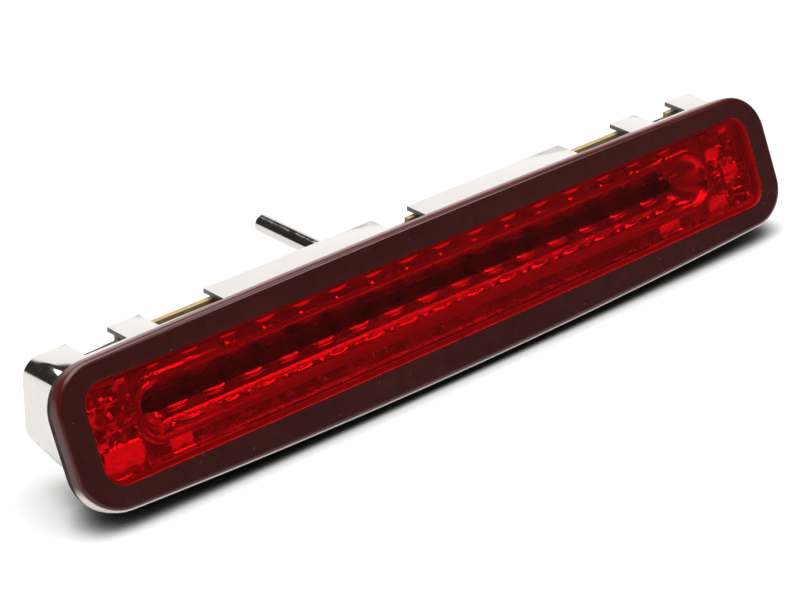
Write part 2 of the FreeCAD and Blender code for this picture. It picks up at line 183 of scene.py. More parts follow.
def finish_mesh(bm: bmesh.types.BMesh, name: str, place: Matrix, sharp_deg: float = 35.0,
                weld: float = 1e-4) -> bpy.types.Object:
    """Turn a bmesh into a piece that rides on the lamp, with its place in its mesh.

    Args:
        bm: the mesh, in mm, which is freed.
        name: the piece's name.
        place: the matrix that carries it to the part's frame in metres.
        sharp_deg: edges that turn by more than this stay sharp.
        weld: vertices closer than this, in mm, become one.

    Returns:
        The new object.
    """
    bmesh.ops.remove_doubles(bm, verts=bm.verts[:], dist=weld)
    bmesh.ops.recalc_face_normals(bm, faces=bm.faces[:])
    bmesh.ops.transform(bm, matrix=place, verts=bm.verts[:])
    limit = math.radians(sharp_deg)
    for face in bm.faces:
        face.smooth = True
    for edge in bm.edges:
        edge.smooth = edge.is_manifold and edge.calc_face_angle(0.0) < limit
    mesh = bpy.data.meshes.new(name)
    bm.to_mesh(mesh)
    bm.free()
    piece = bpy.data.objects.new(name, mesh)
    bpy.context.scene.collection.objects.link(piece)
    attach(piece, BODY)
    return piece


# ---- node tree helpers ---------------------------------------------------------------------------

class Graph:
    """A node tree with short calls to add and join nodes."""

    def __init__(self, tree: bpy.types.NodeTree) -> None:
        """Wrap a tree and empty it."""
        self.tree = tree
        tree.nodes.clear()

    def add(self, kind: str, inputs: dict | None = None, **settings: object) -> bpy.types.Node:
        """Add a node.

        Args:
            kind: the node's type.
            inputs: values or sockets by input name or index.
            settings: the node's own settings.

        Returns:
            The new node.
        """
        node = self.tree.nodes.new(kind)
        for key, value in settings.items():
            setattr(node, key, value)
        for key, value in (inputs or {}).items():
            self.feed(node, key, value)
        return node

    def feed(self, node: bpy.types.Node, key: str | int, value: object) -> None:
        """Give an input a socket or a value."""
        if isinstance(value, bpy.types.NodeSocket):
            self.tree.links.new(value, node.inputs[key])
        else:
            node.inputs[key].default_value = value

    def maths(self, operation: str, first: object, second: object = 0.0) -> bpy.types.NodeSocket:
        """Add a Math node and give its output."""
        return self.add("ShaderNodeMath", {0: first, 1: second}, operation=operation).outputs[0]

    def ramp(self, value: object, low: float, high: float, start: float = 0.0,
             end: float = 1.0) -> bpy.types.NodeSocket:
        """Add a smooth Map Range from (low, high) to (start, end) and give its output."""
        node = self.add("ShaderNodeMapRange", {0: value, 1: low, 2: high, 3: start, 4: end},
                        interpolation_type="SMOOTHSTEP")
        return node.outputs[0]

    def blend(self, factor: object, first: object, second: object) -> bpy.types.NodeSocket:
        """Mix two colours and give the output."""
        node = self.add("ShaderNodeMix", data_type="RGBA")
        self.feed(node, 0, factor)
        self.feed(node, 6, first)
        self.feed(node, 7, second)
        return node.outputs[2]

    def object_point(self, stretch: RGB = (1.0, 1.0, 1.0)) -> bpy.types.NodeSocket:
        """Object coordinates, scaled by axis."""
        coordinates = self.add("ShaderNodeTexCoord").outputs["Object"]
        return self.add("ShaderNodeMapping", {0: coordinates, 3: stretch}).outputs[0]

    def noise(self, point: object, scale: object, detail: float = 3.0,
              roughness: float = 0.5) -> bpy.types.NodeSocket:
        """Add a Noise Texture and give its value."""
        node = self.add("ShaderNodeTexNoise", {"Vector": point, "Scale": scale, "Detail": detail,
                                               "Roughness": roughness})
        return node.outputs[0]


def paint(color: RGB) -> tuple[float, float, float, float]:
    """A colour with full alpha."""
    return (*color, 1.0)


@dataclass
class Groups:
    """Shader node groups that several finishes share, each built once."""

    made: dict[str, bpy.types.NodeTree] = field(default_factory=dict)

    def start(self, name: str, takes: dict[str, tuple[str, object]],
              gives: dict[str, str]) -> tuple[Graph, bpy.types.Node, bpy.types.Node]:
        """Begin a group.

        Args:
            name: the group's name.
            takes: input name to (socket type, default).
            gives: output name to socket type.

        Returns:
            The graph, the group's input node and its output node.
        """
        tree = bpy.data.node_groups.new(name, "ShaderNodeTree")
        for label, (kind, default) in takes.items():
            socket = tree.interface.new_socket(name=label, in_out="INPUT", socket_type=kind)
            socket.default_value = default
        for label, kind in gives.items():
            tree.interface.new_socket(name=label, in_out="OUTPUT", socket_type=kind)
        graph = Graph(tree)
        self.made[name] = tree
        return graph, graph.add("NodeGroupInput"), graph.add("NodeGroupOutput")

    def grain(self) -> bpy.types.NodeTree:
        """Fine mottling: a roughness that varies, a height, and a mask from 0 to 1."""
        if "surface_grain" in self.made:
            return self.made["surface_grain"]
        graph, source, sink = self.start(
            "surface_grain",
            {"Scale": (NUMBER, 900.0), "Roughness": (NUMBER, 0.3), "Spread": (NUMBER, 0.1)},
            {"Roughness": NUMBER, "Height": NUMBER, "Mask": NUMBER})
        point = graph.object_point()
        fine = graph.noise(point, source.outputs["Scale"], 4.0, 0.6)
        coarse = graph.noise(point, graph.maths("MULTIPLY", source.outputs["Scale"], 0.11), 2.0)
        both = graph.maths("MULTIPLY", graph.maths("ADD", fine, coarse), 0.5)
        mask = graph.ramp(both, 0.36, 0.64)
        swing = graph.maths("MULTIPLY", graph.maths("SUBTRACT", mask, 0.5),
                            source.outputs["Spread"])
        graph.feed(sink, "Roughness", graph.maths("ADD", source.outputs["Roughness"], swing))
        graph.feed(sink, "Height", both)
        graph.feed(sink, "Mask", mask)
        return self.made["surface_grain"]

    def dust(self) -> bpy.types.NodeTree:
        """Sparse specks of dust and lint, as a mask."""
        if "dust_specks" in self.made:
            return self.made["dust_specks"]
        graph, source, sink = self.start(
            "dust_specks", {"Scale": (NUMBER, 700.0), "Cover": (NUMBER, 0.3)}, {"Mask": NUMBER})
        point = graph.object_point()
        cells = graph.add("ShaderNodeTexVoronoi",
                          {"Vector": point, "Scale": source.outputs["Scale"]})
        wanted = graph.add("ShaderNodeSeparateColor", {0: cells.outputs["Color"]}).outputs[0]
        chosen = graph.maths("LESS_THAN", wanted, source.outputs["Cover"])
        speck = graph.ramp(cells.outputs["Distance"], 0.24, 0.12)
        graph.feed(sink, "Mask", graph.maths("MULTIPLY", speck, chosen))
        return self.made["dust_specks"]

    def scratches(self) -> bpy.types.NodeTree:
        """Long hairline scratches along one axis, as a mask."""
        if "hairlines" in self.made:
            return self.made["hairlines"]
        graph, source, sink = self.start(
            "hairlines",
            {"Stretch": ("NodeSocketVector", (1.0, 30.0, 30.0)), "Limit": (NUMBER, 0.62)},
            {"Mask": NUMBER})
        coordinates = graph.add("ShaderNodeTexCoord").outputs["Object"]
        point = graph.add("ShaderNodeMapping",
                          {0: coordinates, 3: source.outputs["Stretch"]}).outputs[0]
        lines = graph.noise(point, 60.0, 2.0, 0.4)
        high = graph.maths("ADD", source.outputs["Limit"], 0.06)
        node = graph.add("ShaderNodeMapRange", {0: lines, 1: source.outputs["Limit"], 2: high})
        graph.feed(sink, "Mask", node.outputs[0])
        return self.made["hairlines"]


GROUPS = Groups()
MATERIALS: dict[str, bpy.types.Material] = {}


# ---- finishes ------------------------------------------------------------------------------------

@dataclass(frozen=True)
class Finish:
    """A surface: its plain values, and a pattern that a subclass adds."""

    name: str
    slot: str
    color: RGB
    roughness: float = 0.3
    metallic: float = 0.0
    specular: float = 0.5
    coat: float = 0.0
    coat_roughness: float = 0.05
    ior: float = 1.5

    def material(self) -> bpy.types.Material:
        """The finish's material, made on first use."""
        if self.name in MATERIALS:
            return MATERIALS[self.name]
        made = bpy.data.materials.new("lamp_" + self.name)
        MATERIALS[self.name] = made
        made.use_nodes = True
        graph = Graph(made.node_tree)
        shader = graph.add("ShaderNodeBsdfPrincipled", {
            "Base Color": paint(self.color), "Roughness": self.roughness, "Metallic": self.metallic,
            "Specular IOR Level": self.specular, "Coat Weight": self.coat,
            "Coat Roughness": self.coat_roughness, "IOR": self.ior})
        sink = graph.add("ShaderNodeOutputMaterial")
        graph.feed(sink, "Surface", shader.outputs[0])
        self.pattern(graph, shader)
        return made

    def pattern(self, graph: Graph, shader: bpy.types.Node) -> None:
        """Add the finish's own detail."""

    def grain(self, graph: Graph, scale: float, spread: float) -> bpy.types.Node:
        """Place the shared grain group with this finish's values."""
        node = graph.add("ShaderNodeGroup", node_tree=GROUPS.grain())
        for key, value in (("Scale", scale), ("Roughness", self.roughness), ("Spread", spread)):
            graph.feed(node, key, value)
        return node

    def dust(self, graph: Graph, scale: float, cover: float) -> bpy.types.NodeSocket:
        """Place the shared dust group and give its mask."""
        node = graph.add("ShaderNodeGroup", node_tree=GROUPS.dust())
        graph.feed(node, "Scale", scale)
        graph.feed(node, "Cover", cover)
        return node.outputs["Mask"]

    def hairlines(self, graph: Graph, stretch: RGB, limit: float) -> bpy.types.NodeSocket:
        """Place the shared scratch group and give its mask."""
        node = graph.add("ShaderNodeGroup", node_tree=GROUPS.scratches())
        graph.feed(node, "Stretch", stretch)
        graph.feed(node, "Limit", limit)
        return node.outputs["Mask"]

    def bump(self, graph: Graph, shader: bpy.types.Node, height: object, strength: float,
             distance: float) -> None:
        """Feed the shader's normal from a height."""
        node = graph.add("ShaderNodeBump", {"Height": height, "Strength": strength,
                                            "Distance": distance})
        graph.feed(shader, "Normal", node.outputs[0])

    def put_on(self, piece: bpy.types.Object) -> None:
        """Give a piece this finish as its first one, and keep any others of its faces."""
        if piece.data.materials:
            piece.data.materials[0] = self.material()
        else:
            piece.data.materials.append(self.material())


@dataclass(frozen=True)
class ClearPlastic(Finish):
    """A clear or tinted moulding that light passes through."""

    ripple: float = 0.02
    ripple_scale: float = 90.0

    def pattern(self, graph: Graph, shader: bpy.types.Node) -> None:
        """Light passes through, over a faint moulding ripple and a little dust."""
        graph.feed(shader, "Transmission Weight", 1.0)
        waves = graph.noise(graph.object_point(), self.ripple_scale, 2.0)
        self.bump(graph, shader, waves, 1.0, self.ripple * MM)
        dust = self.dust(graph, 420.0, 0.07)
        rough = graph.ramp(dust, 0.0, 1.0, self.roughness, self.roughness + 0.25)
        graph.feed(shader, "Roughness", rough)


@dataclass(frozen=True)
class GlossRim(Finish):
    """Very dark red moulding with a high gloss, hairlines, a few specks of dust and a painted
    reflection of the floor on its lower edge.
    """

    edge_color: RGB = (0.14, 0.003, 0.003)
    # Pale colour of the painted floor reflection on the down-facing edge.
    painted_reflection_color: RGB = (0.92, 0.80, 0.77)

    def pattern(self, graph: Graph, shader: bpy.types.Node) -> None:
        """Colour that warms a little in patches, a lighter red on the rounded edge, and a painted
        reflection of the floor: a pale colour on the down-facing part of the edge.
        """
        grain = self.grain(graph, 260.0, 0.04)
        lines = self.hairlines(graph, (1.2, 30.0, 30.0), 0.69)
        dust = self.dust(graph, 620.0, 0.035)
        warm = tuple(min(1.0, 1.35 * part) for part in self.color)
        base = graph.blend(grain.outputs["Mask"], paint(self.color), paint(warm))
        edge = graph.add("ShaderNodeAttribute", attribute_name="edge").outputs["Fac"]
        facing = graph.add("ShaderNodeSeparateXYZ", {0: graph.add("ShaderNodeNewGeometry")
                                                     .outputs["Normal"]}).outputs[2]
        # Painted reflection: the rounded edge turns pale where it faces down, as if it mirrored the
        # bright floor.
        glow = graph.maths("MULTIPLY", graph.ramp(edge, 0.1, 0.45), graph.ramp(facing, -0.05, -0.4))
        base = graph.blend(graph.maths("MULTIPLY", edge, 0.5), base, paint(self.edge_color))
        base = graph.blend(glow, base, paint(self.painted_reflection_color))
        pale = graph.maths("MULTIPLY", dust, 0.3)
        graph.feed(shader, "Base Color", graph.blend(pale, base, paint((0.20, 0.13, 0.11))))
        marks = graph.maths("MULTIPLY", graph.maths("MAXIMUM", lines, dust), 0.1)
        rough = graph.maths("ADD", grain.outputs["Roughness"], marks)
        graph.feed(shader, "Roughness", graph.maths("ADD", rough,
                                                    graph.maths("MULTIPLY", edge, 0.2)))
        self.bump(graph, shader, grain.outputs["Height"], 0.2, 0.02 * MM)


@dataclass(frozen=True)
class Plating(Finish):
    """Bright metallising over a moulding."""

    ripple: float = 0.03

    def pattern(self, graph: Graph, shader: bpy.types.Node) -> None:
        """A faint sink-mark ripple, hairlines and patches of haze."""
        grain = self.grain(graph, 240.0, 0.08)
        lines = self.hairlines(graph, (2.0, 12.0, 12.0), 0.64)
        rough = graph.maths("ADD", grain.outputs["Roughness"], graph.maths("MULTIPLY", lines, 0.12))
        graph.feed(shader, "Roughness", rough)
        haze = tuple(0.955 * part for part in self.color)
        graph.feed(shader, "Base Color",
                   graph.blend(grain.outputs["Mask"], paint(haze), paint(self.color)))
        waves = graph.noise(graph.object_point(), 70.0, 1.0)
        self.bump(graph, shader, waves, 1.0, self.ripple * MM)


@dataclass(frozen=True)
class Foam(Finish):
    """Closed-cell foam with open pores on its cut edge."""

    def pattern(self, graph: Graph, shader: bpy.types.Node) -> None:
        """Pores by a cell texture, with lighter cell walls."""
        point = graph.object_point()
        cells = graph.add("ShaderNodeTexVoronoi", {"Vector": point, "Scale": 1500.0},
                          feature="DISTANCE_TO_EDGE")
        wall = graph.ramp(cells.outputs[0], 0.02, 0.22)
        big = graph.noise(point, 420.0, 3.0)
        light = tuple(2.4 * part for part in self.color)
        speckle = graph.maths("MULTIPLY", graph.ramp(big, 0.45, 0.62), 0.8)
        base = graph.blend(speckle, paint(self.color), paint(light))
        dark = tuple(0.45 * part for part in self.color)
        pores = graph.blend(0.35, base, paint(dark))
        graph.feed(shader, "Base Color", graph.blend(wall, base, pores))
        height = graph.maths("SUBTRACT", graph.maths("MULTIPLY", big, 0.8), wall)
        self.bump(graph, shader, height, 0.9, 0.22 * MM)


@dataclass(frozen=True)
class Phenolic(Finish):
    """Paper laminate board with copper tracks under lacquer on its rear face."""

    copper: RGB = (0.50, 0.20, 0.075)

    def pattern(self, graph: Graph, shader: bpy.types.Node) -> None:
        """Layered edges, mottled faces, and tracks that follow the LED pitch on the rear."""
        grain = self.grain(graph, 1100.0, 0.1)
        layers = graph.noise(graph.object_point((0.3, 9.0, 0.3)), 380.0, 2.0)
        dark = tuple(0.62 * part for part in self.color)
        laid = graph.blend(graph.ramp(layers, 0.38, 0.62), paint(dark), paint(self.color))
        mottled = graph.blend(graph.maths("MULTIPLY", grain.outputs["Mask"], 0.35), laid,
                              paint(tuple(min(1.0, 1.25 * part) for part in self.color)))
        spot = graph.add("ShaderNodeSeparateXYZ",
                         {0: graph.add("ShaderNodeTexCoord").outputs["Object"]})
        facing = graph.add("ShaderNodeSeparateXYZ", {0: graph.add("ShaderNodeNewGeometry")
                                                     .outputs["True Normal"]})
        rear = graph.maths("GREATER_THAN", facing.outputs[1], 0.5)
        cell = graph.maths("FRACT", graph.maths("ADD", graph.maths(
            "DIVIDE", spot.outputs[0], LED_PITCH * MM), 0.5 * LED_COUNT))
        gap = graph.ramp(graph.maths("ABSOLUTE", graph.maths("SUBTRACT", cell, 0.5)), 0.030, 0.052)
        low = graph.ramp(spot.outputs[2], -6.3 * MM, -5.9 * MM)
        high = graph.ramp(spot.outputs[2], 1.2 * MM, 0.8 * MM)
        pads = graph.maths("MULTIPLY", graph.maths("MULTIPLY", low, high), gap)
        rail = graph.maths("MULTIPLY", graph.ramp(spot.outputs[2], 4.9 * MM, 5.2 * MM),
                           graph.ramp(spot.outputs[2], 13.0 * MM, 12.7 * MM))
        split = graph.ramp(graph.maths("ABSOLUTE", graph.maths(
            "SUBTRACT", spot.outputs[2], 9.2 * MM)), 0.35 * MM, 0.6 * MM)
        tracks = graph.maths("MAXIMUM", pads, graph.maths("MULTIPLY", rail, split))
        tracks = graph.maths("MULTIPLY", tracks, rear)
        covered = graph.blend(graph.maths("MULTIPLY", tracks, 0.85), mottled, paint(self.copper))
        graph.feed(shader, "Base Color", covered)
        graph.feed(shader, "Roughness", graph.maths("SUBTRACT", grain.outputs["Roughness"],
                                                    graph.maths("MULTIPLY", tracks, 0.2)))
        height = graph.maths("ADD", graph.maths("MULTIPLY", layers, 0.4), tracks)
        self.bump(graph, shader, height, 0.5, 0.05 * MM)


@dataclass(frozen=True)
class WorkedMetal(Finish):
    """Plated steel, tinned copper, solder or brass, with light handling marks."""

    scale: float = 1400.0
    tone: RGB = (0.5, 0.5, 0.5)

    def pattern(self, graph: Graph, shader: bpy.types.Node) -> None:
        """Patches of a second tone, with a roughness that follows them."""
        grain = self.grain(graph, self.scale, 0.22)
        graph.feed(shader, "Base Color",
                   graph.blend(grain.outputs["Mask"], paint(self.color), paint(self.tone)))
        graph.feed(shader, "Roughness", grain.outputs["Roughness"])
        self.bump(graph, shader, grain.outputs["Height"], 0.35, 0.02 * MM)


@dataclass(frozen=True)
class MattMoulding(Finish):
    """Moulding with a fine matt grain, black, bright or red."""

    def pattern(self, graph: Graph, shader: bpy.types.Node) -> None:
        """A fine grain in colour, roughness and height."""
        grain = self.grain(graph, 2600.0, 0.2)
        pale = tuple(part + 0.03 for part in self.color)
        graph.feed(shader, "Base Color",
                   graph.blend(grain.outputs["Mask"], paint(self.color), paint(pale)))
        graph.feed(shader, "Roughness", grain.outputs["Roughness"])
        self.bump(graph, shader, grain.outputs["Height"], 0.5, 0.03 * MM)


class Palette:
    """Every finish on the lamp.

    The pane's refractive index is lowered on purpose, to weaken its surface reflection.
    """

    red_lens = ClearPlastic("red_lens", "red_lens", (0.80, 0.032, 0.062), 0.0, specular=0.12,
                            ior=1.25, ripple=0.012)
    rim = GlossRim("dark_rim", "dark_rim", (0.033, 0.0052, 0.0045), 0.12, specular=0.4, coat=0.05,
                   coat_roughness=0.03)
    foam = Foam("foam", "foam", (0.05, 0.038, 0.03), 0.9, specular=0.25)
    housing = Plating("housing_plating", "bright_plating", (0.67, 0.645, 0.62), 0.1, 1.0,
                      ripple=0.012)
    reflector = Plating("reflector_plating", "bright_plating", (0.90, 0.885, 0.87), 0.26, 1.0,
                        ripple=0.06)
    window_border = MattMoulding("window_border", "bright_plating", (0.80, 0.72, 0.70), 0.35)
    # Painted dark reflection: a dark matt colour on the plated end faces of the housing's notches,
    # for the dark they mirror.
    painted_dark_reflection = MattMoulding("painted_dark_reflection", "bright_plating", (0.10, 0.095, 0.09), 0.4)
    reflector_body = MattMoulding("reflector_body", "bright_plating", (0.44, 0.40, 0.39), 0.35)
    pane_edge = MattMoulding("pane_edge", "red_lens", (1.0, 0.02, 0.03), 0.35)
    # Painted shade: a dark matt colour for the deep LED slot and the window border of the
    # reflector, in place of the plating they have.
    slot_painted_shade = MattMoulding("slot_painted_shade", "bright_plating", (0.11, 0.09, 0.09), 0.35)
    pin = Plating("pin_plating", "bright_plating", (0.62, 0.60, 0.58), 0.12, 1.0, ripple=0.01)
    board = Phenolic("phenolic_board", "phenolic_board", (0.46, 0.32, 0.145), 0.55, specular=0.35)
    resin = ClearPlastic("led_resin", "led_resin", (0.93, 0.90, 0.88), 0.03, ior=1.5, ripple=0.003)
    leadframe = WorkedMetal("led_leadframe", "solder", (0.66, 0.65, 0.63), 0.3, 1.0)
    screw = WorkedMetal("screw_steel", "screw_steel", (0.62, 0.61, 0.58), 0.28, 1.0,
                        tone=(0.46, 0.45, 0.43))
    solder = WorkedMetal("solder", "solder", (0.70, 0.70, 0.71), 0.24, 1.0, scale=1800.0,
                         tone=(0.52, 0.52, 0.53))
    wire = WorkedMetal("tinned_wire", "tinned_wire", (0.72, 0.71, 0.70), 0.26, 1.0,
                       tone=(0.55, 0.54, 0.52))
    brass = WorkedMetal("tinned_brass", "tinned_brass", (0.72, 0.60, 0.36), 0.3, 1.0,
                        tone=(0.56, 0.45, 0.26))
    black = MattMoulding("component_black", "component_black", (0.02, 0.02, 0.02), 0.5,
                         specular=0.4)


# ---- outlines ------------------------------------------------------------------------------------

@dataclass(frozen=True)
class Outline:
    """The bowed, round-cornered outline of the lens or of its window, in the lens frame (mm)."""

    length: float
    top: float
    top_sag: float
    bottom: float
    bottom_sag: float
    corner: float
    corner_steps: int = 10
    side_steps: int = 72

    def bow(self, x: float, z: float) -> float:
        """How far the arcs move a point of the unbowed outline in z."""
        share = (x / (self.length / 2)) ** 2
        if z >= 0.0:
            return -self.top_sag * share * z / self.top
        return self.bottom_sag * share * -z / self.bottom

    def loop(self, bm: bmesh.types.BMesh, inset: float, depth: float) -> list[bmesh.types.BMEdge]:
        """Add the outline as a closed loop of edges.

        Args:
            bm: the mesh to add to.
            inset: how far inside the outline the loop lies.
            depth: how far behind the lens front it lies.

        Returns:
            The loop's edges.
        """
        half = self.length / 2 - inset
        high = self.top - inset
        low = -self.bottom + inset
        made = bmesh.ops.create_grid(bm, x_segments=1, y_segments=1, size=0.5)
        verts = made["verts"]
        middle = (high + low) / 2
        for vert in verts:
            vert.co = Vector((2 * vert.co.x * half, depth, middle + vert.co.y * (high - low)))
        radius = max(0.4, self.corner - inset)
        bevelled = bmesh.ops.bevel(bm, geom=verts, offset=radius, offset_type="OFFSET",
                                   segments=self.corner_steps, profile=0.5, affect="VERTICES",
                                   material=-1)
        face = bevelled["verts"][0].link_faces[0]
        edges = sorted(face.edges, key=lambda edge: -edge.calc_length())
        bmesh.ops.delete(bm, geom=[face], context="FACES_ONLY")
        split = bmesh.ops.subdivide_edges(bm, edges=edges[:2], cuts=self.side_steps)
        found = set(edges) | {part for part in split["geom_split"] + split["geom_inner"]
                              if isinstance(part, bmesh.types.BMEdge)}
        for vert in {vert for edge in found for vert in edge.verts}:
            vert.co.z += self.bow(vert.co.x, vert.co.z)
        return list(found)

    def inside(self, x: float, z: float) -> float:
        """How far inside the unbowed outline a point lies, negative outside."""
        middle = (self.top - self.bottom) / 2
        dx = abs(x) - (self.length / 2 - self.corner)
        dz = abs(z - middle) - ((self.top + self.bottom) / 2 - self.corner)
        outer = math.hypot(max(dx, 0.0), max(dz, 0.0)) + min(max(dx, dz), 0.0)
        return self.corner - outer


LENS = Outline(274.2, 22.2, 1.4, 23.1, 3.5, 13.2)
WINDOW = Outline(258.0, 14.1, -0.9, 14.1, 0.6, 6.5)


# ---- lens and rim --------------------------------------------------------------------------------

@dataclass
class FrontCover:
    """The clear red pane and the dark rim moulded round it."""

    face: float = 2.4
    rim_depth: float = 4.2
    lip: float = 1.8
    edge_round: float = 1.5
    round_steps: int = 6
    window_break: float = 0.04
    pane_gap: float = 0.02

    def build_pane(self) -> bpy.types.Object:
        """Model the pane as a closed plate with softened edges, and dress it."""
        bm = bmesh.new()
        front = WINDOW.loop(bm, self.pane_gap + self.window_break, 0.0)
        middle = WINDOW.loop(bm, self.pane_gap, self.window_break)
        rear = WINDOW.loop(bm, self.pane_gap, self.face - self.pane_gap)
        for first, second in ((front, middle), (middle, rear)):
            bmesh.ops.bridge_loops(bm, edges=first + second)
        for edges in (front, rear):
            bmesh.ops.edgenet_fill(bm, edges=edges)
        bm.normal_update()
        for face in bm.faces:
            face.material_index = 1 if abs(face.normal.y) < 0.5 else 0
        piece = finish_mesh(bm, "lens_pane", lens_frame(), 30.0)
        Palette.red_lens.put_on(piece)
        piece.data.materials.append(Palette.pane_edge.material())
        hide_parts("lens")
        return piece

    def build_rim(self) -> bpy.types.Object:
        """Model the rim as one ring whose front edge is rounded, and dress it."""
        bm = bmesh.new()
        radius = self.edge_round
        profile = [(0.0, self.rim_depth)]
        for step in range(self.round_steps + 1):
            turn = math.pi / 2 * step / self.round_steps
            profile.append((radius * (1 - math.cos(turn)), radius * (1 - math.sin(turn))))
        loops = [LENS.loop(bm, inset, depth) for inset, depth in profile]
        edge = WINDOW.loop(bm, -self.window_break, 0.0)
        wall = WINDOW.loop(bm, 0.0, self.window_break)
        rear = WINDOW.loop(bm, 0.0, self.face)
        under = LENS.loop(bm, self.lip, self.face)
        lip = LENS.loop(bm, self.lip, self.rim_depth)
        loops += [edge, wall, rear, under, lip]
        layer = bm.verts.layers.float.new("edge")
        for step, loop in enumerate(loops[:self.round_steps + 2]):
            for vert in {vert for side in loop for vert in side.verts}:
                vert[layer] = smooth(self.round_steps + 1, 0.5 * self.round_steps, step)
        for first, second in zip(loops, loops[1:] + loops[:1]):
            bmesh.ops.bridge_loops(bm, edges=first + second)
        for face in bm.faces:
            middle = face.calc_center_median()
            if middle.y > 0.5 and WINDOW.inside(middle.x, middle.z) > -0.05:
                face.material_index = 1
        piece = finish_mesh(bm, "rim_moulding", lens_frame(), 38.0)
        Palette.rim.put_on(piece)
        piece.data.materials.append(Palette.window_border.material())
        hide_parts("lens_rim")
        return piece


# ---- reflector optics ----------------------------------------------------------------------------

@dataclass(frozen=True)
class Pillow:
    """One raised pillow that repeats at every LED, in the lens frame (mm)."""

    z: float
    half_length: float
    half_height: float
    bulge: float
    shift: float

    def rise(self, x: float, z: float) -> float:
        """How far the pillow stands out at a point."""
        if abs(z - self.z) > self.half_height:
            return 0.0
        along = ((x / LED_PITCH + 0.5 * LED_COUNT - self.shift) % 1.0 - 0.5) * LED_PITCH
        share = (along / self.half_length) ** 2 + ((z - self.z) / self.half_height) ** 2
        return self.bulge * max(0.0, 1.0 - share)


@dataclass(frozen=True)
class Patch:
    """A flat facet that tips towards the floor, in the lens frame (mm)."""

    x0: float
    x1: float
    z0: float
    z1: float
    tip: float

    def covers(self, x: float, z: float) -> bool:
        """Say whether a point lies on the facet."""
        return self.x0 < x < self.x1 and self.z0 < z < self.z1

    def rise(self, x: float, z: float) -> float:
        """How far the facet stands out at a point, with the gentle waves of its moulding."""
        wave = 0.22 * noise.noise(Vector((x * 0.3, z * 0.5, 1.0)))
        return self.tip * (z - self.z0) + wave


class Row(Enum):
    """Rows of pillows along the reflector, named from top to bottom."""

    TOP_DASH = Pillow(12.6, 3.6, 0.75, 0.36, -0.25)
    UPPER_ARC = Pillow(9.7, 1.5, 0.55, 0.22, -0.34)
    UPPER_DOT = Pillow(9.0, 0.7, 0.5, 0.25, -0.16)
    UPPER_STREAK = Pillow(8.75, 2.6, 0.28, 0.10, -0.05)
    INNER_LOOP = Pillow(-1.65, 4.3, 0.85, 0.34, 0.41)
    OUTER_LOOP = Pillow(-5.5, 3.8, 0.85, 0.26, 0.5)
    OUTER_DOT = Pillow(-5.6, 0.7, 0.5, 0.3, 0.02)


